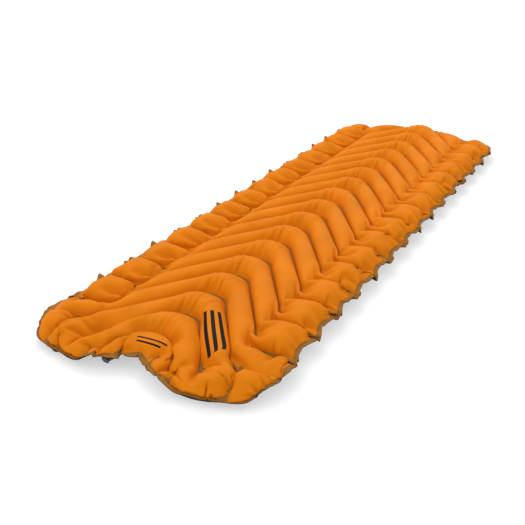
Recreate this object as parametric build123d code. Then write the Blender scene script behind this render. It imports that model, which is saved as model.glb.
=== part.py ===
from build123d import *
from math import cos, sin, tan, sqrt, radians
import os

# Inflatable sleeping pad with V-shaped body chambers between two rows of side pillows.
# +X runs across the width, +Y towards the end that the V tips point to, +Z up.
# The origin is on the floor, under the middle of the pad. Millimetres.

LENGTH = 1829
WIDTH = 584
THICKNESS = 64
MID = THICKNESS / 2            # both sheets are welded together at this height
WALL = 1.2                     # sheet wall, thicker than the real film so that it meshes
PITCH = 105.1                  # one V weld to the next, along Y
ORIGIN_PITCH = 9.5             # pattern position, in pitches, of the middle of the pad
WELD = 7.4                     # width of a V weld, measured along Y
FLANGE = 11                    # welded rim round the outline

# V welds: two straight arms joined by a round tip
ARM_ANGLE = 57.1               # arm's angle from the X axis
TIP_RADIUS = 0.52 * PITCH
ARM_END = 1.6 * PITCH          # X where a weld ends
TIP_RISE = 2.03 * PITCH        # Y from a weld's ends to its tip
V_COUNT = 16                   # V chambers
V_HEIGHT_TOP = 31
V_HEIGHT_BOTTOM = 32.5         # flattened by the floor

# Side pillows, staggered half a pitch from the V welds
RAIL_SHIFT = 0.035 * PITCH
RAIL_COUNT = 14
RAIL_HEIGHT_TOP = 32
RAIL_HEIGHT_BOTTOM = 33.5
OVERLAP = 6                    # how far V chambers and pillows run into each other
RAIL_HALF_WIDTH = (PITCH - 5) / 2
PILLOW_SHRINK = 2              # a pillow's air space ends this many walls before the rim
RIM_X = WIDTH / 2 - FLANGE     # inner edge of the straight side welds

# Welded outline of the right half, in pitches, from the middle of each end
NEAR_RIM = [(0, 1.35), (0.4, 1.22), (0.9, 0.9), (1.4, 0.8), (1.95, 0.9), (2.4, 1.22), (2.68, 1.75)]
FAR_RIM = [(2.7, 16.75), (2.45, 17.2), (2.05, 17.4), (1.6, 17.36), (1, 17.72), (0.5, 18.05), (0, 18.2)]
STRAIGHT_FROM = 2.4            # the straight sides run between these two places
STRAIGHT_TO = 16.2
FIRST_V_END = 0.9 * PITCH      # the first V chamber is shortened by the notch

# Pillows that run along Y to the notched rim: X, start and rim in pitches, half width, share of height
NOTCH_PILLOW = (0, 2.06, 1.35, 37, 0.8)
NEAR_PILLOWS = [(71, 1.9, 1.18, 27, 0.85), (154, 1.95, 0.82, 49, 1), (2.27 * PITCH, 2.0, 1.14, 30, 0.9)]
# Corner pillows that run along X: start, distance of their end from the side weld, Y and half width in pitches
CORNER_PILLOWS = [(1.98 * PITCH, 2, 1.9, 0.56), (ARM_END - OVERLAP, 6, 16.95, 0.37)]

# Batting strip in each V chamber
BATT_HALF_WIDTH = 38
BATT_HALF_THICK = 5
BATT_GAP = 12                  # from a strip's ends to its chamber's ends

# Valve, under the notched end, on its own tilted axis
VALVE_X = -70
VALVE_Y = -861
VALVE_Z = 14
VALVE_TILT = 20                # degrees below horizontal, facing -Y
BOSS_R = 13.5
FLANGE_R = 12
TUBE_R = 6.5
TUBE_BORE_R = 4.6
TUBE_LENGTH = 10
FIT = 0.05                     # radial running clearance
POST_R = 1.5
PLUG_R = 2.6
COLLAR_R = 9.6
SKIRT_R = 7.6
SEAL_R = 0.4
SEAL_AT = 8                    # nozzle O-ring's place along the valve
BOSS_DEPTH = 13
BASE_THICK = 1.5               # weld flange inside the sheet
SPOKE_WIDTH = 1.6              # spokes that hold the centre post
SPOKE_DEPTH = 2
PATCH_THICK = 0.6
COLLAR_START = 0.9
COLLAR_FLOOR = 1.8             # thickness of the collar's inward lip
COLLAR_END = 6
GRIP_COUNT = 12                # finger grooves round the collar
GRIP_R = 1.1
KEY_WIDTH = 2.4
KEY_DEPTH = 1.2
SLOT_CLEARANCE = 0.4
LIP = 0.9                      # bite lip round the mouthpiece
PLUG_END = 13.5
PLUG_LENGTH = 2.5
PLUG_SEAL_AT = PLUG_END - 1.25


STANDING = (Align.CENTER, Align.CENTER, Align.MIN)


def at_pitch(y):
    """Y in millimetres of a place along the pattern given in pitches."""
    return (y - ORIGIN_PITCH) * PITCH


def v_rise(x):
    """How far along Y a V weld has risen at x, from its ends at ARM_END."""
    tangent_x = TIP_RADIUS * sin(radians(ARM_ANGLE))
    if abs(x) < tangent_x:
        return TIP_RISE - TIP_RADIUS + sqrt(TIP_RADIUS**2 - x**2)
    return TIP_RISE - TIP_RADIUS + TIP_RADIUS * cos(radians(ARM_ANGLE)) \
        - (abs(x) - tangent_x) * tan(radians(ARM_ANGLE))


def arch(plane, half_width, height):
    """Half ellipse standing on the weld plane."""
    edge = EllipticalCenterArc((0, 0), half_width, height, 0, arc_size=180)
    return plane * make_face([edge, Line(edge @ 1, edge @ 0)])


def arch_across(x, y, half_width, height):
    """Half ellipse in a plane of constant X."""
    plane = Plane(origin=(x, y, MID), x_dir=(0, 1, 0), z_dir=(1, 0, 0))
    return arch(plane, half_width, height)


def arch_along(x, y, half_width, height):
    """Half ellipse in a plane of constant Y."""
    plane = Plane(origin=(x, y, MID), x_dir=(1, 0, 0), z_dir=(0, -1, 0))
    return arch(plane, half_width, height)


def v_stations(end):
    """X stations of a V chamber: straight arms, and short steps round the tip."""
    tangent_x = TIP_RADIUS * sin(radians(ARM_ANGLE))
    tip = [tangent_x * i / 3 for i in range(-3, 4)]
    return [-end] + tip + [end]


def v_chamber(index, height, inset, end=ARM_END):
    """Half of one V chamber, above the weld plane. inset shrinks it to its air space."""
    half_width = (PITCH - WELD) / 2 - inset * 1.5
    y = at_pitch(index + 0.5)
    stations = v_stations(end + OVERLAP - inset)
    faces = [arch_across(x, y + v_rise(x), half_width, height - inset) for x in stations]
    return loft(faces, ruled=True)


# A pillow's profile: place along it from root (0) to rim (1), and its height there
PILLOW_PROFILE = [(0, 0.86), (0.2, 1), (0.62, 1), (0.86, 0.66), (1, 0.16)]


def pillow_x(side, x_root, x_rim, y, half_width, height, inset):
    """Half of a pillow that runs out sideways to the rim, above the weld plane."""
    x_root = x_root + inset
    length = x_rim - PILLOW_SHRINK * inset - x_root
    faces = [
        arch_across(side * (x_root + length * s), y, half_width - inset, h * (height - inset))
        for s, h in PILLOW_PROFILE
    ]
    return loft(faces, ruled=True)


def pillow_y(x, y_root, y_rim, half_width, height, inset):
    """Half of a pillow that runs along Y to the rim, above the weld plane."""
    step = inset if y_rim > y_root else -inset
    y_root = y_root + step
    length = y_rim - PILLOW_SHRINK * step - y_root
    faces = [
        arch_along(x, y_root + length * s, half_width - inset, h * (height - inset))
        for s, h in PILLOW_PROFILE
    ]
    return loft(faces, ruled=True)


def side_pillows(height, inset):
    pillows = []
    for k in range(3, 3 + RAIL_COUNT):
        y = at_pitch(k) + RAIL_SHIFT
        for side in (-1, 1):
            pillows.append(pillow_x(side, ARM_END - OVERLAP, RIM_X, y, RAIL_HALF_WIDTH, height, inset))
    return pillows


def notch_pillow(x, start, rim, half_width, share, height, inset):
    return pillow_y(x, at_pitch(start), at_pitch(rim) + FLANGE, half_width, share * height, inset)


def end_pillows(height, inset):
    """Pillows along the notched end, and the corner pillows of both ends."""
    pillows = [notch_pillow(*NOTCH_PILLOW, height, inset)]
    for side in (-1, 1):
        for x, start, rim, half_width, share in NEAR_PILLOWS:
            pillows.append(notch_pillow(side * x, start, rim, half_width, share, height, inset))
        for start, short, y, half_width in CORNER_PILLOWS:
            rim = RIM_X - short
            pillows.append(pillow_x(side, start, rim, at_pitch(y), half_width * PITCH, height, inset))
    return pillows


# Wings beyond the last V weld: X and Y in pitches, half width in Y, share of height, from tip to root
WING = [
    (0.12, 18.02, 4, 0.12),
    (0.5, 17.74, 22, 0.55),
    (1, 17.3, 40, 0.85),
    (1.5, 16.75, 48, 1),
    (1.7, 16.6, 48, 1),
]
WING_TIP = 1.5                 # least half width and height of a wing's section


def wings(height, inset):
    out = []
    for side in (-1, 1):
        faces = []
        for x, y, half_width, share in WING:
            size = (max(half_width - inset, WING_TIP), max(share * height - inset, WING_TIP))
            faces.append(arch_across(side * x * PITCH, at_pitch(y), *size))
        out.append(loft(faces, ruled=True))
    return out


def outline():
    """Welded outline: a notch at the -Y end and a bulge at the +Y end."""
    half = WIDTH / 2
    near_right = [(x * PITCH, at_pitch(y)) for x, y in NEAR_RIM] + [(half, at_pitch(STRAIGHT_FROM))]
    far_right = [(half, at_pitch(STRAIGHT_TO))] + [(x * PITCH, at_pitch(y)) for x, y in FAR_RIM]
    near_edge = Spline(*near_right, tangents=[(1, 0), (0, 1)])
    far_edge = Spline(*far_right, tangents=[(0, 1), (-1, 0)])
    side = Line(near_right[-1], far_right[0])
    right = [near_edge, side, far_edge]
    left = [edge.mirror(Plane.YZ) for edge in right]
    return make_face(right + left)


def chambers(v_height, rail_height, inset):
    ends = [FIRST_V_END] + [ARM_END] * (V_COUNT - 1)
    v_chambers = [v_chamber(k, v_height, inset, end) for k, end in enumerate(ends)]
    return v_chambers + side_pillows(rail_height, inset) + end_pillows(rail_height, inset) \
        + wings(rail_height, inset)


def half_shell(v_height, rail_height, boss=None, boss_space=None):
    """One sheet above the weld plane: welded rim and webs, with hollow raised chambers.

    Chambers higher than the pad are pressed flat at its full thickness.
    """
    plate = Pos(0, 0, MID) * extrude(outline(), WALL)
    outer = plate.fuse(*chambers(v_height, rail_height, 0))
    spaces = chambers(v_height, rail_height, WALL)
    above = Pos(0, 0, THICKNESS) * Box(WIDTH, LENGTH + PITCH, THICKNESS, align=STANDING)
    if max(v_height, rail_height) > MID:
        outer = outer - above
        spaces = [space - Pos(0, 0, -WALL) * above for space in spaces]
    if boss:
        outer = outer.fuse(boss)
        spaces.append(boss_space)
    return outer.cut(*spaces)


def valve_frame():
    """Valve's own frame: +Z out of the pad along the valve, origin on the boss's face."""
    tilt = radians(VALVE_TILT)
    return Plane(origin=(VALVE_X, VALVE_Y, VALVE_Z), x_dir=(1, 0, 0), z_dir=(0, -cos(tilt), -sin(tilt)))


def tube(outer, inner, start, end):
    """Round sleeve along the valve axis. inner 0 makes it solid."""
    body = Pos(0, 0, start) * Cylinder(outer, end - start, align=STANDING)
    if inner:
        body -= Pos(0, 0, start) * Cylinder(inner, end - start, align=STANDING)
    return body


def top_sheet():
    return half_shell(V_HEIGHT_TOP, RAIL_HEIGHT_TOP)


def bottom_sheet():
    """The lower sheet, with a small flat-faced boss that the valve is welded into."""
    flip = Plane.XY.offset(MID)
    boss = mirror(valve_frame() * tube(BOSS_R, 0, -BOSS_DEPTH, 0), about=flip)
    space = mirror(valve_frame() * tube(BOSS_R - WALL, 0, -BOSS_DEPTH - WALL, -WALL), about=flip)
    sheet = mirror(half_shell(V_HEIGHT_BOTTOM, RAIL_HEIGHT_BOTTOM, boss, space), about=flip)
    return sheet - valve_frame() * tube(TUBE_R, 0, -2 * WALL, WALL)


def insulation(index):
    """V-shaped strip of batting that lies along the middle of one V chamber."""
    end = (FIRST_V_END if index == 0 else ARM_END) - BATT_GAP
    y = at_pitch(index + 0.5)
    section = Rectangle(2 * BATT_HALF_WIDTH, 2 * BATT_HALF_THICK)
    faces = []
    for x in v_stations(end):
        across = Plane(origin=(x, y + v_rise(x), MID), x_dir=(0, 1, 0), z_dir=(1, 0, 0))
        faces.append(across * section)
    return loft(faces, ruled=True)


def valve_base():
    """Weld flange, nozzle tube, and the centre post whose tip plugs the mouthpiece."""
    inner_face = -WALL - BASE_THICK
    base = tube(FLANGE_R, TUBE_BORE_R, inner_face, -WALL) + tube(TUBE_R, TUBE_BORE_R, -WALL, TUBE_LENGTH)
    spoke = Pos(0, 0, inner_face) * Box(2 * TUBE_BORE_R + 1, SPOKE_WIDTH, SPOKE_DEPTH, align=STANDING)
    base += spoke
    base += Rot(0, 0, 90) * spoke
    base += tube(POST_R, 0, inner_face, PLUG_END - PLUG_LENGTH)
    base += tube(PLUG_R, 0, PLUG_END - PLUG_LENGTH, PLUG_END)
    base -= groove(TUBE_R + 1, TUBE_R - 2 * SEAL_R - FIT, SEAL_AT)
    base -= groove(PLUG_R + 1, PLUG_R - 2 * SEAL_R, PLUG_SEAL_AT)
    return base


def groove(outer, inner, at):
    """Seat of an O-ring, a little wider than the ring."""
    half_width = SEAL_R + 0.05
    return tube(outer, inner, at - half_width, at + half_width)


def valve_patch():
    """Reinforcing ring welded round the valve on the outside of the sheet."""
    return tube(FLANGE_R, TUBE_R, 0, PATCH_THICK)


def valve_collar():
    """Twist collar: turns on the nozzle tube, and drives the mouthpiece by two slots."""
    recess = COLLAR_START + COLLAR_FLOOR
    collar = tube(COLLAR_R, TUBE_R + FIT, COLLAR_START, COLLAR_END)
    collar -= tube(SKIRT_R + SLOT_CLEARANCE, 0, recess, COLLAR_END + 1)
    for index in range(GRIP_COUNT):
        grip = Pos(COLLAR_R + GRIP_R / 2, 0, COLLAR_START) * tube(GRIP_R, 0, 0, COLLAR_END)
        collar -= Rot(0, 0, (index + 0.5) * 360 / GRIP_COUNT) * grip
    slot = Box(2.5 * KEY_DEPTH, KEY_WIDTH + 2 * SLOT_CLEARANCE, COLLAR_END, align=STANDING)
    for side in (-1, 1):
        collar -= Pos(side * SKIRT_R, 0, recess) * slot
    return collar


def valve_mouthpiece():
    """Pull mouthpiece: slides on the nozzle tube. Its end hole closes on the plug."""
    skirt_start = COLLAR_START + COLLAR_FLOOR + SLOT_CLEARANCE
    cap_start = PLUG_END - PLUG_LENGTH
    cup = tube(SKIRT_R, TUBE_R + FIT, skirt_start, cap_start)
    cup += tube(SKIRT_R, PLUG_R + FIT, cap_start, PLUG_END)
    cup += tube(SKIRT_R + LIP, SKIRT_R - LIP, PLUG_END - 2, PLUG_END - 0.6)
    key = Box(KEY_DEPTH, KEY_WIDTH, COLLAR_END - skirt_start, align=STANDING)
    for side in (-1, 1):
        cup += Pos(side * (SKIRT_R + 0.3), 0, skirt_start) * key
    return cup


def seal(radius, at):
    return Pos(0, 0, at) * Torus(radius, SEAL_R)


def write(node, shape):
    shape.label = node
    export_step(shape, f"parts/{node}.step")


def main():
    os.makedirs("parts", exist_ok=True)
    write("top_sheet", top_sheet())
    write("bottom_sheet", bottom_sheet())
    for index in range(V_COUNT):
        write(f"insulation_v_{index + 1:02d}", insulation(index))
    valve = {
        "valve_base": valve_base(),
        "valve_patch": valve_patch(),
        "valve_collar": valve_collar(),
        "valve_mouthpiece": valve_mouthpiece(),
        "nozzle_o_ring": seal(TUBE_R - SEAL_R - FIT, SEAL_AT),
        "plug_o_ring": seal(PLUG_R - SEAL_R, PLUG_SEAL_AT),
    }
    for node, shape in valve.items():
        write(node, valve_frame() * shape)


if __name__ == "__main__":
    main()
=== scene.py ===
import math

import bpy
import numpy as np
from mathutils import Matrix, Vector


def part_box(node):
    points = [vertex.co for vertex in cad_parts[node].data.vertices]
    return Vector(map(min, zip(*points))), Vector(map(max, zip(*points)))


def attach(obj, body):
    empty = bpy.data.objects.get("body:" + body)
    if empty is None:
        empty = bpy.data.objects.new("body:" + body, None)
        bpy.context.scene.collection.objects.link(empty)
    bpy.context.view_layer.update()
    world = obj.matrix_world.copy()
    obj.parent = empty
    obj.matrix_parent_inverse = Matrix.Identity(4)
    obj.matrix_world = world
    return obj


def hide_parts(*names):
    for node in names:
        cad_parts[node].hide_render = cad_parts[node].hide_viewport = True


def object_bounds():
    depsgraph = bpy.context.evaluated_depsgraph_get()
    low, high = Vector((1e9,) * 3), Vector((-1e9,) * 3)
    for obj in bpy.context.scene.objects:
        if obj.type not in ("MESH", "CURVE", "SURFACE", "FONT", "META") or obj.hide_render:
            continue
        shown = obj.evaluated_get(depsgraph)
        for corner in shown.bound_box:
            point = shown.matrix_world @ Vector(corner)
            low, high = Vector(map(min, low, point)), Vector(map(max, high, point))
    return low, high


# Inflatable sleeping pad: two welded sheets blown up by a small pressure solver, the batting
# strips inside them, the printed bars on top and the valve under the notched end. Metres.

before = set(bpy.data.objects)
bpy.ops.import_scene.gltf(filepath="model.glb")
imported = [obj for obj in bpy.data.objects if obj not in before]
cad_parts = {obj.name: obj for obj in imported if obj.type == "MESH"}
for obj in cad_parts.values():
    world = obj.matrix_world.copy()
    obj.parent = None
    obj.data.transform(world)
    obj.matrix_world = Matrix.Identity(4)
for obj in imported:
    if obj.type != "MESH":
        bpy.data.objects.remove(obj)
cad_low, cad_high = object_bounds()

# Driving sizes
DRAW_IN = 0.012                          # how far the sides draw in when the pad is blown up
SIDE = cad_high.x - DRAW_IN
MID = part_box("top_sheet")[0].z           # height at which the two sheets are welded together
PITCH = 0.1051                           # one V weld to the next, along Y
ORIGIN_PITCH = 9.5                       # pattern position of the middle of the pad
FLANGE = 0.006                           # width of the welded rim
WING_RIM = 0.016                         # height of the rim under the two wings of the notched end
ARM_ANGLE = math.radians(57.1)           # of a V weld's arms, from X
TIP_RADIUS = 0.52                        # in pitches, as are the next three
ARM_END = 1.6
TIP_RISE = 2.03
RAIL_START = 1.7                         # inner end of the welds between the side pillows
LAST_V = 16                              # V welds are numbered from 0 at the notched end
FIRST_RAIL = 3                           # rail welds lie just before whole pitches, from this one
LAST_RAIL = 17                           # to this one

# Valve
VALVE_TILT = math.radians(20)            # how far its axis turns below -Y
VALVE_FACE = Vector((-0.070, -0.861, 0.014))     # middle of its patch, where it meets the sheet
VALVE_AXIS = Vector((0, -math.cos(VALVE_TILT), -math.sin(VALVE_TILT)))

# Rim of the right half, in pitches, from the middle of each end to the straight side
NEAR_RIM = [(0, 1.36), (0.4, 1.2), (0.9, 0.98), (1.4, 0.96), (1.95, 1.06), (2.38, 1.32), (2.62, 1.8)]
FAR_RIM = [(0, 18.22), (0.5, 18.08), (1, 17.75), (1.6, 17.4), (2.05, 17.42), (2.4, 17.2), (2.6, 16.75)]
NEAR_SIDE = 2.4
FAR_SIDE = 16.2

# Grid: columns run along Y, and rows follow the V welds
ROWS_PER_PITCH = 20
FIRST_ROW = -0.625
LAST_ROW = 17.325
COLUMNS = 141
RIM_CELLS = 2                            # cells across the welded rim
ON_ROW = 0.6                             # a weld along a row takes what is this many rows from it
RAIL_WELD = 0.45                         # a rail weld lies this far before each whole pitch
SCALLOP = 0.11                           # how far a full pillow pulls the rim in, in pitches
RIM_SCALLOP = 1.1                        # the outer edge of the rim is pulled in this much more
CORNER_FROM = 2.2                        # the rim's corners lie further out than this, in pitches

# Where rows leave the V shape: X at which each starts to and has fully left it
W0_LEAVES = (0.70, 1.0)
W1_LEAVES = (1.25, ARM_END)
W16_LEAVES = (1.43, RAIL_START)
W2_DIP = 0.19                            # the end of V weld 2 dips towards the notched end
W2_DIP_STARTS = (1.52, 1.95)
W2_DIP_ENDS = (2.05, 2.52)

# Where V welds end, in pitches: the first three are shortened by the notched rim
WELD_END = {0: 0.70, 1: 1.26, 2: 1.96}
FULL_WELD_END = ARM_END + 0.01
END_FLARE = {1: (0.30, 0.11), 2: (0.30, 0.11)}     # length and half width of the flared ends
SMALL_FLARE = (0.09, 0.05)               # of the other V welds' ends
RAIL_FLARE = (0.13, 0.06)                # of the rail welds' inner ends
WELD_HALF = 0.02                         # half width of a weld line
# Short welds in from the rim at the notched end: X, how far in they reach, width of their foot
END_WELDS = [(0.38, 0.22, 0.10), (0.93, 0.26, 0.16), (1.97, 0.30, 0.20)]
END_WELD_HALF = 0.022
PILLOW_HALF = 0.475                      # of a side pillow, along Y
PILLOW_CORNER = 0.19                     # radius of a side pillow's outer corners
PAST_PILLOW = 0.03                       # the weld at a corner reaches this far past the pillow
FAR_DIMPLE = (1.66, 0.03, 17.0)          # weld at the far end: X, half width, where it starts
FAR_WELD = 0.085                         # the rim's weld is this much wider at the far end

# Fullness: cut length of the cloth over its length in the plan, across and along the chambers.
# A spread or a range is in pitches, from the middle or from the rim.
ARM_ACROSS = 1.60
TIP_ACROSS_LOSS = 0.33
TIP_ACROSS_SPREAD = 0.43
TIP_ALONG = 0.05
TIP_ALONG_SPREAD = 0.48
SIDE_RANGE = (1.45, 1.75)                # from the arms to the side pillows
SIDE_ACROSS = 1.46
SIDE_ACROSS_LOSS = 0.06
SIDE_LOSS_RANGE = (1.9, 2.4)
SIDE_ALONG = 0.08
PILLOW_END_ALONG = 0.58
PILLOW_END_RANGE = (2.12, 2.38)
NEAR_RANGE = (0.3, 1.0)                  # chambers along the notched end
NEAR_ACROSS = 1.38
NEAR_ALONG = 1.30
NEAR_EDGE_RANGE = (0.25, 0.45)
NEAR_EDGE_ACROSS = 0.20
NOTCH_RANGE = (0.8, 1.1)                 # the pillow in the notch
NOTCH_ACROSS = 1.66
NOTCH_ALONG = 1.34
FAR_RANGE = (0.3, 0.9)                   # chambers along the far end
FAR_ACROSS = 1.42
FAR_ALONG = 1.16
SEAM_SHARE = 0.5                         # how much of the fullness a seam keeps
RIM_SHARE = 0.8

# Pressure solver, per step
STEPS = 500
PRESSURE = 5e-6
GRAVITY = 2e-7
DAMPING = 0.96
TOP_SPEED = 0.003
RELAX = 1.5
PASSES = 2                               # over the cloth's edges
HOLD_WELD = 0.06                         # pull of the weld lines towards their place in the plan
HOLD_RIM = 0.002
LEVEL_WELD = 0.02                        # pull towards rim_height()
LEVEL_WING = 0.03
LEVEL_RIM = 0.004
BEND_SEAM = 0.08                         # stiffness where the sheets are welded
BEND_OPEN = 0.035                        # and where they are not
BEND_EVERY = 2                           # steps
FULL_CELL = 0.004                        # smaller cells bend less
START_GAP = 0.004
START_NOISE = 0.0005                     # of the open cloth
START_WAVE = 0.0008                      # of the welds

# Wings: X, in pitches, over which the rim goes down to WING_RIM and comes up again
WING_STARTS = (0.8, 1.2)
WING_ENDS = (2.3, 2.6)

# Folds across the V chambers: X and half width in pitches, depth, and where along Y they fade
CREASES = (0.073, 0.219, 0.365)
CREASE_HALF_WIDTH = 0.040
CREASE_DEPTH = 0.0026
CREASE_STARTS = (0.08, 0.25)
CREASE_ENDS = (0.55, 0.85)

FILM_GAP = 0.0005                        # between the two sheets where they are welded
VALVE_SEAT = 0.0135                      # radius of the flat seat behind the valve
SHEET_CLEARANCE = 0.0006                 # between the seat and the valve's patch

# Batting
BATT_HALF_WIDTH = 0.030
BATT_INSET = 0.038                       # its middle line, from the far side of its CAD box
BATT_REACH = {1: 0.60, 2: 0.72}          # share of its length that each of the first strips keeps
BATT_OTHER_REACH = 0.95
BATT_SECTIONS = 61
BATT_SIDES = 20
BATT_LUMPS = 0.12                        # largest share of the width a lump takes off

# Colours and the weave
TOP_COLOUR = (0.74, 0.205, 0.003, 1)
TOP_WELD = (0.30, 0.13, 0.022, 1)
BOTTOM_COLOUR = (0.055, 0.052, 0.062, 1)
BOTTOM_WELD = (0.040, 0.038, 0.046, 1)
INK = (0.012, 0.011, 0.010, 1)
THREAD = 0.0005                          # one thread of the weave
BAND = 0.314                             # a wave texture's bands at scale 1 are this far apart
CLOUD_SHADE = 0.86                       # the darker patches of the cloth

# Printed bars: middle, turn from X, half length and half width, on the flat pattern
BARS = [
    ((0.087, -0.737), -ARM_ANGLE, 0.076, 0.0028),
    ((0.096, -0.731), -ARM_ANGLE, 0.076, 0.0028),
    ((0.105, -0.725), -ARM_ANGLE, 0.076, 0.0028),
    ((0.010, -0.826), 0.0, 0.026, 0.0014),
    ((0.010, -0.833), 0.0, 0.021, 0.0014),
]

# Studio
CAMERA_AT = Vector((0.8540, -1.9034, 0.8783))
CAMERA_TURN = math.radians(-28.788)      # from +Y towards +X
CAMERA_DROP = math.radians(25.818)
LENS = 54.75
FLOOR_HALF = 30
FLOOR_HEIGHT = -0.0004                   # just under the pad
FLOOR_SHADE = (0.5, 0.5, 0.5, 1)
FLOOR_GLOW = 0.52                        # keeps the studio paper white around the pad
SKY = 0.95


# ---------------------------------------------------------------- flat pattern

def smooth(low, high, t):
    t = np.clip((t - low) / (high - low), 0, 1)
    return t * t * (3 - 2 * t)


def mix(a, b, t):
    return a + (b - a) * t


def rise(x):
    """How far along Y a V weld has risen at x, in pitches, from its ends at ARM_END."""
    x = np.abs(x)
    tangent = TIP_RADIUS * math.sin(ARM_ANGLE)
    tip = TIP_RISE - TIP_RADIUS + np.sqrt(TIP_RADIUS**2 - np.minimum(x, tangent)**2)
    arm = TIP_RISE - TIP_RADIUS * (1 - math.cos(ARM_ANGLE)) - (x - tangent) * math.tan(ARM_ANGLE)
    return np.where(x < tangent, tip, np.maximum(arm, 0))


def spline(points, steps=16):
    """Catmull-Rom line through the points."""
    p = np.array(points, float)
    p = np.vstack([[-p[1, 0], p[1, 1]], p, 2 * p[-1] - p[-2]])
    t = np.arange(steps)[:, None] / steps
    parts = []
    for a, b, c, d in zip(p, p[1:], p[2:], p[3:]):
        parts.append(0.5 * (2 * b + (c - a) * t + (2 * a - 5 * b + 4 * c - d) * t**2
                            + (3 * b - a - 3 * c + d) * t**3))
    return np.vstack(parts + [p[-2:-1]])


class Rim:
    """One end's outline: the outer edge, the weld's inner edge, and the corner between end and side."""

    def __init__(self, points, side):
        self.outer = spline(points + [(SIDE / PITCH, side)])
        step = np.gradient(self.outer, axis=0)
        step /= np.linalg.norm(step, axis=1)[:, None]
        turn = 1 if side < ORIGIN_PITCH else -1
        normal = turn * np.stack([-step[:, 1], step[:, 0]], 1)
        self.inner = self.outer + normal * FLANGE / PITCH
        off_diagonal = np.abs(np.abs(step[:, 0]) - np.abs(step[:, 1]))
        off_diagonal[self.outer[:, 0] < CORNER_FROM] = np.inf
        self.corner = int(np.argmin(off_diagonal))
        self.turn = turn

    def y_at(self, line, x):
        c = self.corner + 1
        return np.interp(x, line[:c, 0], line[:c, 1])

    def x_at(self, line, y):
        c = self.corner
        return np.interp(self.turn * y, self.turn * line[c:, 1], line[c:, 0])


def plan():
    """Grid of the flat pattern: arrays of x and y in pitches, the row's place s, and the rim masks."""
    near, far = Rim(NEAR_RIM, NEAR_SIDE), Rim(FAR_RIM, FAR_SIDE)
    inner = (SIDE - FLANGE) / PITCH
    column = np.linspace(-inner, inner, COLUMNS)
    rows = np.arange(round((LAST_ROW - FIRST_ROW) * ROWS_PER_PITCH) + 1)
    s = FIRST_ROW + rows[:, None] / ROWS_PER_PITCH
    near_corner, far_corner = near.inner[near.corner], far.inner[far.corner]
    rail_near, rail_far = FIRST_RAIL - RAIL_WELD, LAST_RAIL - RAIL_WELD
    side_y = np.interp(s, [FIRST_ROW, 2, rail_near, rail_far, LAST_ROW],
                       [near_corner[1], 2, rail_near, rail_far, far_corner[1]])
    side_x = np.where(s < ORIGIN_PITCH, near.x_at(near.inner, side_y), far.x_at(far.inner, side_y))
    a = np.abs(column)[None, :]
    pulled_in = SCALLOP * np.abs(np.sin(np.pi * np.clip(s - rail_near, 0, rail_far - rail_near)))
    side_x = side_x - pulled_in
    x = np.where(a <= ARM_END, a, ARM_END + (a - ARM_END) * (side_x - ARM_END) / (inner - ARM_END))
    edge = near.y_at(near.inner, np.minimum(x, near_corner[0]))
    dip = W2_DIP * smooth(*W2_DIP_STARTS, x) * (1 - smooth(*W2_DIP_ENDS, x))
    g = rise(x)
    w2 = 2 + g - dip
    share1, share0 = (1 - FIRST_ROW) / (2 - FIRST_ROW), -FIRST_ROW / (1 - FIRST_ROW)
    w1 = mix(1 + g, mix(edge, w2, share1), smooth(*W1_LEAVES, x))
    w0 = mix(g, mix(edge, w1, share0), smooth(*W0_LEAVES, x))
    body = s + g - dip * np.clip(1 - (s - 2) / (rail_near - 2), 0, 1)
    w16 = LAST_V + g
    far_edge = far.y_at(far.inner, np.minimum(x, far_corner[0]))
    share17 = (rail_far - LAST_V) / (LAST_ROW - LAST_V)
    rail17 = mix(mix(w16, far_edge, share17), rail_far, smooth(*W16_LEAVES, x))
    y = np.select(
        [s < 0, s < 1, s < 2, s < LAST_V, s < rail_far],
        [mix(edge, w0, (s - FIRST_ROW) / -FIRST_ROW), mix(w0, w1, s), mix(w1, w2, s - 1), body,
         mix(w16, rail17, (s - LAST_V) / (rail_far - LAST_V))],
        mix(rail17, far_edge, (s - rail_far) / (LAST_ROW - rail_far)))
    x = x * np.sign(column)[None, :]
    return add_rim(x, y, s, near, far)


def into_rim(count):
    """0 on the grid's own lines, rising to 1 at the outer edge of the rim's."""
    middle = (count - 1) / 2
    return np.clip(np.abs(np.arange(count) - middle) - (middle - RIM_CELLS), 0, RIM_CELLS) / RIM_CELLS


def add_rim(x, y, s, near, far):
    """Adds the welded rim's cells round the grid."""
    n = RIM_CELLS
    x, y = np.pad(x, n, mode="edge"), np.pad(y, n, mode="edge")
    s = np.pad(np.broadcast_to(s, (len(s), 1)), ((n, n), (0, 0)), mode="edge")
    rows, columns = x.shape
    in_x, in_y = np.abs(x), y.copy()
    near_rows = s < ORIGIN_PITCH
    along_side = np.clip(s - FIRST_RAIL + RAIL_WELD, 0, LAST_RAIL - FIRST_RAIL)
    pulled_in = SCALLOP * np.abs(np.sin(np.pi * along_side))
    out_x = np.where(near_rows, near.x_at(near.outer, in_y), far.x_at(far.outer, in_y))
    out_x = out_x - RIM_SCALLOP * pulled_in
    out_y = np.where(near_rows, near.y_at(near.outer, in_x), far.y_at(far.outer, in_x))
    tx, ty = into_rim(columns)[None, :], into_rim(rows)[:, None]
    corner_x = np.where(near_rows, near.outer[near.corner, 0], far.outer[far.corner, 0])
    corner_y = np.where(near_rows, near.outer[near.corner, 1], far.outer[far.corner, 1])
    new_x = (1 - ty) * mix(in_x, out_x, tx) + ty * mix(in_x, corner_x, tx)
    new_y = (1 - tx) * mix(in_y, out_y, ty) + tx * mix(in_y, corner_y, ty)
    rim = (tx > 0) | (ty > 0)
    edge = np.zeros_like(rim)
    edge[n:-n, n:-n] = True
    edge[n + 1:-n - 1, n + 1:-n - 1] = False
    return np.sign(x) * new_x, new_y, np.broadcast_to(s, x.shape), rim | edge


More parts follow.
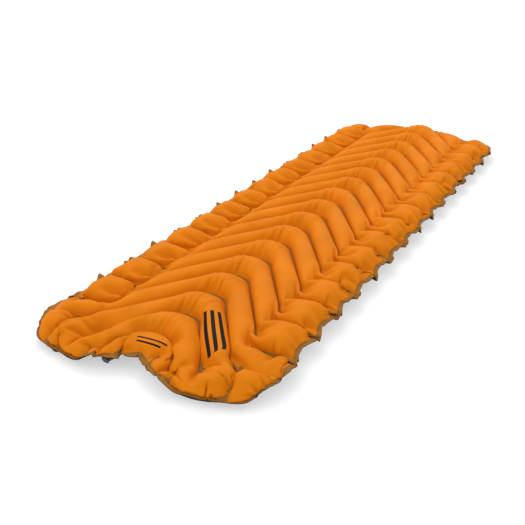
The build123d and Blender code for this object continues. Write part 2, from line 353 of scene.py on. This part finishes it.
def welds(x, y, s, rim):
    """(anchor, seam): the weld lines that stay in place, and all that is welded besides the rim."""
    a = np.abs(x)
    inner_edge = y[RIM_CELLS][None, :]
    anchor, flare = np.zeros(x.shape, bool), np.zeros(x.shape, bool)
    for k in range(LAST_V + 1):
        end = WELD_END.get(k, FULL_WELD_END)
        on = np.abs(s - k) < ON_ROW / ROWS_PER_PITCH
        line = y[on[:, 0]].mean(0)[None, :]
        anchor |= on & (a < end)
        length, width = END_FLARE.get(k, SMALL_FLARE)
        t = (a - (end - length)) / length
        flare |= (t > 0) & (a < end) & (np.abs(y - line) < width * t + WELD_HALF)
    for k in range(FIRST_RAIL, LAST_RAIL + 1):
        off = np.abs(s - k + RAIL_WELD)
        anchor |= (off < ON_ROW / ROWS_PER_PITCH) & (a > RAIL_START)
        length, width = RAIL_FLARE
        t = (RAIL_START + length - a) / length
        flare |= (t > 0) & (a > RAIL_START) & (off < width * t + WELD_HALF)
    for k in range(FIRST_RAIL, LAST_RAIL):
        across = np.abs(s - k - 0.5 + RAIL_WELD) - (PILLOW_HALF - PILLOW_CORNER)
        out = a - ((SIDE - FLANGE) / PITCH - PILLOW_CORNER)
        inside = (across > 0) & (across < PILLOW_CORNER + PAST_PILLOW) & (out > 0)
        flare |= inside & (np.hypot(across, out) > PILLOW_CORNER)
    for at, reach, foot in END_WELDS:
        depth = y - inner_edge
        rounded = foot - np.sqrt(np.maximum(foot**2 - (foot - depth)**2, 0))
        width = END_WELD_HALF + np.where(depth < foot, rounded, 0)
        flare |= (np.abs(a - at) < width) & (depth < reach) & (s < 2)
    at, half, start = FAR_DIMPLE
    flare |= (np.abs(a - at) < half) & (y > start)
    flare |= (s > LAST_V) & (y[-1 - RIM_CELLS][None, :] - y < FAR_WELD)
    return anchor & ~rim, (anchor | flare) & ~rim


def fullness(x, y, s):
    """How much longer the cut cloth is than its plan: (across the chambers, along them)."""
    a = np.abs(x)
    side = smooth(*SIDE_RANGE, a)
    across = mix(ARM_ACROSS - TIP_ACROSS_LOSS * np.exp(-(a / TIP_ACROSS_SPREAD)**2),
                 SIDE_ACROSS - SIDE_ACROSS_LOSS * smooth(*SIDE_LOSS_RANGE, a), side)
    along = (1 + TIP_ALONG * np.exp(-(a / TIP_ALONG_SPREAD)**2) + SIDE_ALONG * side
             + PILLOW_END_ALONG * smooth(*PILLOW_END_RANGE, a))
    from_near = y - y[RIM_CELLS][None, :]
    near = np.where(s < 3, 1 - smooth(*NEAR_RANGE, from_near), 0)
    edge = np.where(s < 3, 1 - smooth(*NEAR_EDGE_RANGE, from_near), 0)
    across = mix(across, NEAR_ACROSS + NEAR_EDGE_ACROSS * edge, near)
    along = mix(along, NEAR_ALONG, near)
    notch = np.where(s < 0, 1 - smooth(*NOTCH_RANGE, a), 0)
    across, along = mix(across, NOTCH_ACROSS, notch), mix(along, NOTCH_ALONG, notch)
    from_far = y[-1 - RIM_CELLS][None, :] - y
    far = np.where(s > LAST_V - 0.5, 1 - smooth(*FAR_RANGE, from_far), 0)
    across, along = mix(across, FAR_ACROSS, far), mix(along, FAR_ALONG, far)
    return across, along


# ---------------------------------------------------------------- pressure solver

HERE, NEXT = slice(None, -1), slice(1, None)
ALL = slice(None)
EDGES = [((ALL, NEXT), (ALL, HERE)), ((NEXT, ALL), (HERE, ALL)),
         ((NEXT, NEXT), (HERE, HERE)), ((NEXT, HERE), (HERE, NEXT))]
STIFFNESS = [1.0, 1.0, 0.6, 0.6]


def rest_lengths(px, py, across, along, anchor, seam, rim):
    """Cut length of every edge: its plan length, stretched along and across the rows."""
    tx, ty = np.gradient(px, axis=1), np.gradient(py, axis=1)
    size = np.hypot(tx, ty)
    tx, ty = tx / size, ty / size
    out = []
    for high, low in EDGES:
        ex, ey = px[high] - px[low], py[high] - py[low]
        ux, uy = tx[high] + tx[low], ty[high] + ty[low]
        size = np.hypot(ux, uy)
        ux, uy = ux / size, uy / size
        lengthwise = (along[high] + along[low]) / 2
        lengthwise = np.where(anchor[high] & anchor[low], 1, lengthwise)
        crosswise = (across[high] + across[low]) / 2
        crosswise = np.where(seam[high] & seam[low], mix(1, crosswise, SEAM_SHARE), crosswise)
        crosswise = np.where(rim[high] & rim[low], mix(1, crosswise, RIM_SHARE), crosswise)
        length = np.hypot((ex * ux + ey * uy) * lengthwise, (ey * ux - ex * uy) * crosswise)
        out.append(length.astype(np.float32))
    return out


def rim_height(x, s):
    """Height the rim settles at: the wings of the notched end droop."""
    a = np.abs(x)
    wing = smooth(*WING_STARTS, a) * (1 - smooth(*WING_ENDS, a)) * (s < 1.5)
    return mix(MID, WING_RIM, wing).astype(np.float32)


def inflate(px, py, rest, anchor, seam, rim, height, steps):
    """Blows the two sheets up. Returns positions as an array of (xyz, sheet, row, column)."""
    f4 = np.float32
    rng = np.random.default_rng(11)
    px, py = px.astype(f4), py.astype(f4)
    welded = (seam | rim).astype(f4)
    free = 1 - welded
    q = np.zeros((3, 2) + px.shape, f4)
    q[0], q[1] = px, py
    lift = free * START_GAP + np.abs(rng.standard_normal(px.shape)).astype(f4) * START_NOISE
    q[2, 0], q[2, 1] = MID + lift, MID - lift
    q[2] += welded * (rng.standard_normal(px.shape) * START_WAVE).astype(f4)
    v = np.zeros_like(q)
    count = np.zeros(px.shape, f4)
    for (high, low), k in zip(EDGES, STIFFNESS):
        count[high] += k
        count[low] += k
    relax = (RELAX / count).astype(f4)
    hold = anchor * f4(HOLD_WELD) + rim * f4(HOLD_RIM)
    level = (anchor * f4(LEVEL_WELD)
             + rim * np.where(height < MID, LEVEL_WING, LEVEL_RIM).astype(f4))
    bend = np.where(anchor, 0, np.where(rim | seam, BEND_SEAM, BEND_OPEN)).astype(f4)
    bend_rows = bend[1:-1] * evenness(px, py, 0)
    bend_columns = bend[:, 1:-1] * evenness(px, py, 1)
    side = np.array([1, -1], f4)[:, None, None] * f4(PRESSURE) * free[1:-1, 1:-1]
    move = np.empty_like(q)
    for step in range(steps):
        gx = q[:, :, 1:-1, 2:] - q[:, :, 1:-1, :-2]
        gy = q[:, :, 2:, 1:-1] - q[:, :, :-2, 1:-1]
        normal = np.stack([gx[1] * gy[2] - gx[2] * gy[1], gx[2] * gy[0] - gx[0] * gy[2],
                           gx[0] * gy[1] - gx[1] * gy[0]])
        v[:, :, 1:-1, 1:-1] += normal * (side / np.sqrt((normal * normal).sum(0) + f4(1e-14)))
        v[2] -= GRAVITY
        v *= DAMPING
        speed = np.sqrt((v * v).sum(0))
        v *= np.minimum(1, TOP_SPEED / np.maximum(speed, 1e-9))
        before = q.copy()
        q += v
        for _ in range(PASSES):
            move[:] = 0
            for (high, low), length, k in zip(EDGES, rest, STIFFNESS):
                high, low = (ALL, ALL) + high, (ALL, ALL) + low
                d = q[high] - q[low]
                d *= (0.5 * k) * (1 - length / np.maximum(np.sqrt((d * d).sum(0)), 1e-9))
                move[high] -= d
                move[low] += d
            move *= relax
            q += move
            mean = (q[:, 0] + q[:, 1]) / 2
            q += welded * (mean[:, None] - q)
            q[0] += hold * (px - q[0])
            q[1] += hold * (py - q[1])
            q[2] += level * (height - q[2])
            np.maximum(q[2], 0, out=q[2])
        if step % BEND_EVERY == 0:
            fold(q, bend_rows, bend_columns)
        v = q - before
    return q


def evenness(px, py, axis):
    """Share of a full cell that the cells on both sides of each vertex have, squared."""
    step = np.hypot(np.diff(px, axis=axis), np.diff(py, axis=axis))
    step = np.minimum(step[NEXT], step[HERE]) if axis == 0 else np.minimum(step[:, NEXT], step[:, HERE])
    return (np.minimum(step / FULL_CELL, 1)**2).astype(np.float32)


def fold(q, bend_rows, bend_columns):
    """Bending stiffness: each vertex moves a little towards the line through its neighbours."""
    curve = q[:, :, 2:] + q[:, :, :-2] - 2 * q[:, :, 1:-1]
    q[:, :, 1:-1] += bend_rows * curve
    curve = q[:, :, :, 2:] + q[:, :, :, :-2] - 2 * q[:, :, :, 1:-1]
    q[:, :, :, 1:-1] += bend_columns * curve


def normals(p):
    """Unit normals of a sheet given as (xyz, row, column)."""
    n = np.cross(np.gradient(p, axis=2), np.gradient(p, axis=1), axis=0)
    return n / np.linalg.norm(n, axis=0)


def crease(p, a, s):
    """Fine folds across each V chamber on the inside of its bend."""
    rng = np.random.default_rng(5)
    chamber = np.floor(s)
    place = s - chamber
    depth = np.zeros(a.shape)
    for at in CREASES:
        near = np.maximum(1 - np.abs(a - at) / CREASE_HALF_WIDTH, 0)
        uneven = 0.5 + rng.random(20)
        depth += near * uneven[chamber.astype(int) % len(uneven)]
    inside = (s > 0) & (s < LAST_V)
    depth *= CREASE_DEPTH * smooth(*CREASE_STARTS, place) * (1 - smooth(*CREASE_ENDS, place)) * inside
    p -= normals(p) * depth


def keep_apart(q):
    """Moves the sheets apart wherever they cross, and keeps both off the floor."""
    middle = (q[2, 0] + q[2, 1]) / 2
    half = np.maximum((q[2, 0] - q[2, 1]) / 2, FILM_GAP)
    middle = np.maximum(middle, half)
    q[2, 0], q[2, 1] = middle + half, middle - half


def seat_valve(p, weld):
    """Presses the bottom sheet flat behind the valve's patch."""
    offset = p - np.array(VALVE_FACE)[:, None, None]
    axis = np.array(VALVE_AXIS)[:, None, None]
    ahead = (offset * axis).sum(0)
    aside = np.linalg.norm(offset - ahead * axis, axis=0)
    close = np.abs(ahead) < 2 * VALVE_SEAT
    press = (1 - smooth(VALVE_SEAT, 3 * VALVE_SEAT, aside)) * close * ~weld
    p += axis * press * (-SHEET_CLEARANCE - ahead)


def make_pad():
    """Both sheets blown up, their flat pattern, and where they are welded."""
    x, y, s, rim = plan()
    anchor, seam = welds(x, y, s, rim)
    across, along = fullness(x, y, s)
    px, py = x * PITCH, (y - ORIGIN_PITCH) * PITCH
    rest = rest_lengths(px, py, across, along, anchor, seam, rim)
    steps = STEPS
    q = inflate(px, py, rest, anchor, seam, rim, rim_height(x, s), steps)
    crease(q[:, 0], np.abs(x), s)
    seat_valve(q[:, 1], seam | rim)
    keep_apart(q)
    q[2] -= q[2].min()
    return q, px, py, seam | rim


# ---------------------------------------------------------------- pieces

def add_object(name, mesh):
    piece = bpy.data.objects.new(name, mesh)
    bpy.context.scene.collection.objects.link(piece)
    return piece


def grid_mesh(name, points, flat, weld, flip):
    """A sheet from a grid of points (row, column, xyz), with its flat pattern as UVs."""
    rows, columns = points.shape[:2]
    index = np.arange(rows * columns).reshape(rows, columns)
    corners = [index[:-1, :-1], index[:-1, 1:], index[1:, 1:], index[1:, :-1]]
    quads = np.stack(corners, -1).reshape(-1, 4)
    if flip:
        quads = quads[:, ::-1]
    mesh = bpy.data.meshes.new(name)
    mesh.from_pydata(points.reshape(-1, 3).tolist(), [], quads.tolist())
    uv = mesh.uv_layers.new(name="flat")
    uv.data.foreach_set("uv", flat.reshape(-1, 2)[quads.ravel()].astype(np.float32).ravel())
    mask = mesh.attributes.new("weld", "FLOAT", "POINT")
    mask.data.foreach_set("value", weld.astype(np.float32).ravel())
    mesh.polygons.foreach_set("use_smooth", np.ones(len(quads), bool))
    mesh.validate()
    return add_object(name, mesh)


def pad_sheets():
    q, px, py, weld = make_pad()
    flat = np.stack([px, py], -1)
    apart = normals((q[:, 0] + q[:, 1]) / 2) * (FILM_GAP / 2)
    top, bottom = np.moveaxis(q[:, 0] + apart, 0, -1), np.moveaxis(q[:, 1] - apart, 0, -1)
    upper = grid_mesh("pad_top", top, flat, weld, False)
    lower = grid_mesh("pad_bottom", bottom, flat, weld, True)
    upper.data.materials.append(fabric("top_weave", TOP_COLOUR, TOP_WELD, printed=True))
    lower.data.materials.append(fabric("bottom_weave", BOTTOM_COLOUR, BOTTOM_WELD))
    sheets = ((upper, "top_sheet", "top_fabric"), (lower, "bottom_sheet", "bottom_fabric"))
    for piece, node, slot in sheets:
        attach(piece, "pad")
        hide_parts(node)


def batting_strip(index):
    """Lofty V-shaped strip of fibre batting inside one chamber."""
    node = f"insulation_v_{index:02d}"
    low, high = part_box(node)
    rng = np.random.default_rng(100 + index)
    x = np.linspace(low.x, high.x, BATT_SECTIONS) * BATT_REACH.get(index, BATT_OTHER_REACH)
    lift = rise(x / PITCH) * PITCH
    y = lift - lift.max() + high.y - BATT_INSET
    turn = np.linspace(0, 2 * math.pi, BATT_SIDES, endpoint=False)
    across, up = np.cos(turn), np.sin(turn)
    lumps = 1 - BATT_LUMPS * rng.random((BATT_SECTIONS, BATT_SIDES))
    from_middle = np.abs(np.linspace(-1, 1, BATT_SECTIONS))
    ends = np.sqrt(np.clip(1 - from_middle**12, 0.02, 1))[:, None]
    middle, half = (low.z + high.z) / 2, (high.z - low.z) / 2
    points = np.empty((BATT_SECTIONS, BATT_SIDES, 3))
    points[..., 0] = x[:, None]
    points[..., 1] = y[:, None] + BATT_HALF_WIDTH * np.sign(across) * np.abs(across)**0.7 * lumps
    points[..., 2] = middle + half * np.sign(up) * np.abs(up)**0.6 * lumps * ends
    ids = np.arange(BATT_SECTIONS * BATT_SIDES).reshape(BATT_SECTIONS, BATT_SIDES)
    corners = [ids[:-1], ids[1:], np.roll(ids[1:], -1, 1), np.roll(ids[:-1], -1, 1)]
    quads = np.stack(corners, -1).reshape(-1, 4)
    mesh = bpy.data.meshes.new(f"batting_{index:02d}")
    faces = quads.tolist() + [ids[0].tolist(), ids[-1, ::-1].tolist()]
    mesh.from_pydata(points.reshape(-1, 3).tolist(), [], faces)
    mesh.polygons.foreach_set("use_smooth", np.ones(len(faces), bool))
    mesh.validate()
    piece = add_object(mesh.name, mesh)
    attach(piece, "pad")
    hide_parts(node)
    return piece


# ---------------------------------------------------------------- materials

class Nodes:
    """Short calls for a material's node tree."""

    def __init__(self, name):
        self.material = bpy.data.materials.new(name)
        self.material.use_nodes = True
        self.tree = self.material.node_tree
        self.shader = self.tree.nodes["Principled BSDF"]

    def add(self, kind, **values):
        node = self.tree.nodes.new(kind)
        for key, value in values.items():
            if hasattr(node, key):
                setattr(node, key, value)
            else:
                node.inputs[key.replace("_", " ")].default_value = value
        return node

    def link(self, out, into):
        self.tree.links.new(out, into)

    def maths(self, operation, a, b=0.0):
        node = self.add("ShaderNodeMath", operation=operation)
        for socket, value in zip(node.inputs, (a, b)):
            if isinstance(value, (int, float)):
                socket.default_value = value
            else:
                self.link(value, socket)
        return node.outputs[0]

    def blend(self, share, a, b):
        node = self.add("ShaderNodeMix", data_type="RGBA")
        self.link(share, node.inputs["Factor"])
        colours = [i for i in node.inputs if i.type == "RGBA"]
        for socket, value in zip(colours, (a, b)):
            if isinstance(value, tuple):
                socket.default_value = value
            else:
                self.link(value, socket)
        return [o for o in node.outputs if o.type == "RGBA"][0]

    def ramp(self, value, low, high, to_low=0.0, to_high=1.0):
        node = self.add("ShaderNodeMapRange")
        self.link(value, node.inputs["Value"])
        ends = {"From Min": low, "From Max": high, "To Min": to_low, "To Max": to_high}
        for name, number in ends.items():
            node.inputs[name].default_value = number
        return node.outputs[0]

    def bump(self, height, distance, strength, under=None):
        node = self.add("ShaderNodeBump", Distance=distance, Strength=strength)
        self.link(height, node.inputs["Height"])
        if under:
            self.link(under, node.inputs["Normal"])
        return node.outputs[0]


def bar_mask(n, u, v, middle, turn, half_length, half_width):
    """1 inside a bar on the flat pattern, 0 outside."""
    du, dv = n.maths("SUBTRACT", u, middle[0]), n.maths("SUBTRACT", v, middle[1])
    c, s = math.cos(turn), math.sin(turn)
    lengthwise = n.maths("ADD", n.maths("MULTIPLY", du, c), n.maths("MULTIPLY", dv, s))
    crosswise = n.maths("SUBTRACT", n.maths("MULTIPLY", dv, c), n.maths("MULTIPLY", du, s))
    in_length = n.maths("LESS_THAN", n.maths("ABSOLUTE", lengthwise), half_length)
    in_width = n.maths("LESS_THAN", n.maths("ABSOLUTE", crosswise), half_width)
    return n.maths("MULTIPLY", in_length, in_width)


def fabric(name, colour, weld_colour, printed=False):
    """Coated plain weave, darker where it is welded, with the printed bars on the top sheet."""
    n = Nodes(name)
    flat = n.add("ShaderNodeUVMap", uv_map="flat").outputs[0]
    place = n.add("ShaderNodeTexCoord").outputs["Object"]
    u, v, _ = n.add("ShaderNodeSeparateXYZ").outputs
    n.link(flat, u.node.inputs[0])
    weld = n.add("ShaderNodeAttribute", attribute_name="weld").outputs["Fac"]
    weld = n.ramp(weld, 0.35, 0.65)
    cloud = n.add("ShaderNodeTexNoise", Scale=14.0, Detail=3.0, Roughness=0.55)
    n.link(place, cloud.inputs["Vector"])
    shade = n.ramp(cloud.outputs["Fac"], 0.3, 0.7, 0.0, 1.0)
    darker = tuple(c * CLOUD_SHADE for c in colour[:3]) + (1,)
    base = n.blend(shade, darker, colour)
    base = n.blend(weld, base, weld_colour)
    roughness = n.ramp(cloud.outputs["Fac"], 0.3, 0.7, 0.62, 0.54)
    if printed:
        ink = None
        for bar in BARS:
            mask = bar_mask(n, u, v, *bar)
            ink = mask if ink is None else n.maths("MAXIMUM", ink, mask)
        base = n.blend(ink, base, INK)
    n.link(base, n.shader.inputs["Base Color"])
    n.link(roughness, n.shader.inputs["Roughness"])
    threads = []
    for direction in ("X", "Y"):
        wave = n.add("ShaderNodeTexWave", bands_direction=direction, Scale=BAND / THREAD)
        n.link(flat, wave.inputs["Vector"])
        threads.append(wave.outputs["Fac"])
    weave = n.bump(n.maths("MULTIPLY", *threads), 0.00004, 0.25)
    pucker = n.add("ShaderNodeTexNoise", Scale=90.0, Detail=2.0)
    n.link(place, pucker.inputs["Vector"])
    n.link(n.bump(pucker.outputs["Fac"], 0.0006, 0.25, weave), n.shader.inputs["Normal"])
    n.shader.inputs["Specular IOR Level"].default_value = 0.05
    return n.material


def plastic(name, colour, roughness, grain):
    """Moulded plastic or rubber with a fine grain and slightly polished high spots."""
    n = Nodes(name)
    place = n.add("ShaderNodeTexCoord").outputs["Object"]
    noise = n.add("ShaderNodeTexNoise", Scale=grain, Detail=4.0)
    n.link(place, noise.inputs["Vector"])
    lighter = tuple(min(c * 1.5 + 0.004, 1) for c in colour[:3]) + (1,)
    n.link(n.blend(noise.outputs["Fac"], colour, lighter), n.shader.inputs["Base Color"])
    n.link(n.ramp(noise.outputs["Fac"], 0.3, 0.7, roughness + 0.06, roughness - 0.06),
           n.shader.inputs["Roughness"])
    n.link(n.bump(noise.outputs["Fac"], 0.0001, 0.3), n.shader.inputs["Normal"])
    return n.material


def fibre(name):
    """White polyester batting."""
    n = Nodes(name)
    place = n.add("ShaderNodeTexCoord").outputs["Object"]
    noise = n.add("ShaderNodeTexNoise", Scale=260.0, Detail=6.0, Distortion=1.5)
    n.link(place, noise.inputs["Vector"])
    n.link(n.blend(noise.outputs["Fac"], (0.62, 0.62, 0.60, 1), (0.86, 0.86, 0.85, 1)),
           n.shader.inputs["Base Color"])
    n.link(n.bump(noise.outputs["Fac"], 0.001, 0.8), n.shader.inputs["Normal"])
    n.shader.inputs["Roughness"].default_value = 0.95
    return n.material


def valve_finish():
    black = (0.012, 0.012, 0.013, 1)
    finishes = {
        "valve_base": plastic("valve_nozzle_plastic", (0.02, 0.02, 0.022, 1), 0.42, 900.0),
        "valve_collar": plastic("valve_collar_plastic", black, 0.48, 700.0),
        "valve_mouthpiece": plastic("valve_mouth_rubber", (0.035, 0.035, 0.040, 1), 0.55, 800.0),
        "valve_patch": plastic("valve_patch_film", (0.035, 0.034, 0.040, 1), 0.36, 500.0),
        "nozzle_o_ring": plastic("nozzle_seal_rubber", black, 0.35, 1500.0),
        "plug_o_ring": plastic("plug_seal_rubber", black, 0.35, 1500.0),
    }
    for node, material in finishes.items():
        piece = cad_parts[node]
        piece.data.materials.clear()
        piece.data.materials.append(material)


# ---------------------------------------------------------------- studio

def floor():
    mesh = bpy.data.meshes.new("floor")
    size = FLOOR_HALF
    corners = [(-size, -size, 0), (size, -size, 0), (size, size, 0), (-size, size, 0)]
    mesh.from_pydata(corners, [], [(0, 1, 2, 3)])
    piece = add_object("floor", mesh)
    piece.location.z = FLOOR_HEIGHT
    n = Nodes("floor_paper")
    n.shader.inputs["Base Color"].default_value = FLOOR_SHADE
    n.shader.inputs["Emission Color"].default_value = (1, 1, 1, 1)
    n.shader.inputs["Emission Strength"].default_value = FLOOR_GLOW
    n.shader.inputs["Roughness"].default_value = 0.9
    n.shader.inputs["Specular IOR Level"].default_value = 0.1
    mesh.materials.append(n.material)


def area_light(name, at, target, size, power):
    data = bpy.data.lights.new(name, "AREA")
    data.shape = "DISK"
    data.size, data.energy = size, power
    light = add_object(name, data)
    light.location = at
    light.rotation_euler = (Vector(target) - Vector(at)).to_track_quat("-Z", "Y").to_euler()


def studio():
    floor()
    area_light("key", (-1.5, 1.6, 3.2), (0, 0, 0), 2.6, 50)
    area_light("fill", (-1.5, -2.6, 2.2), (0, -0.2, 0), 3.0, 10)
    world = bpy.data.worlds.new("studio")
    world.use_nodes = True
    sky = world.node_tree.nodes["Background"]
    sky.inputs["Color"].default_value = (1, 1, 1, 1)
    sky.inputs["Strength"].default_value = SKY
    bpy.context.scene.world = world
    bpy.context.scene.view_settings.view_transform = "Standard"


def camera():
    data = bpy.data.cameras.new("camera")
    data.lens, data.sensor_width = LENS, 36
    data.clip_end = 100
    eye = add_object("camera", data)
    level = math.cos(CAMERA_DROP)
    forward = Vector((math.sin(CAMERA_TURN) * level, math.cos(CAMERA_TURN) * level,
                      -math.sin(CAMERA_DROP)))
    eye.location = CAMERA_AT
    eye.rotation_mode = "QUATERNION"
    eye.rotation_quaternion = forward.to_track_quat("-Z", "Y")
    bpy.context.scene.camera = eye


def main():
    camera()
    studio()
    pad_sheets()
    batting = fibre("polyester_batting")
    for index in range(1, 17):
        batting_strip(index).data.materials.append(batting)
    valve_finish()


main()
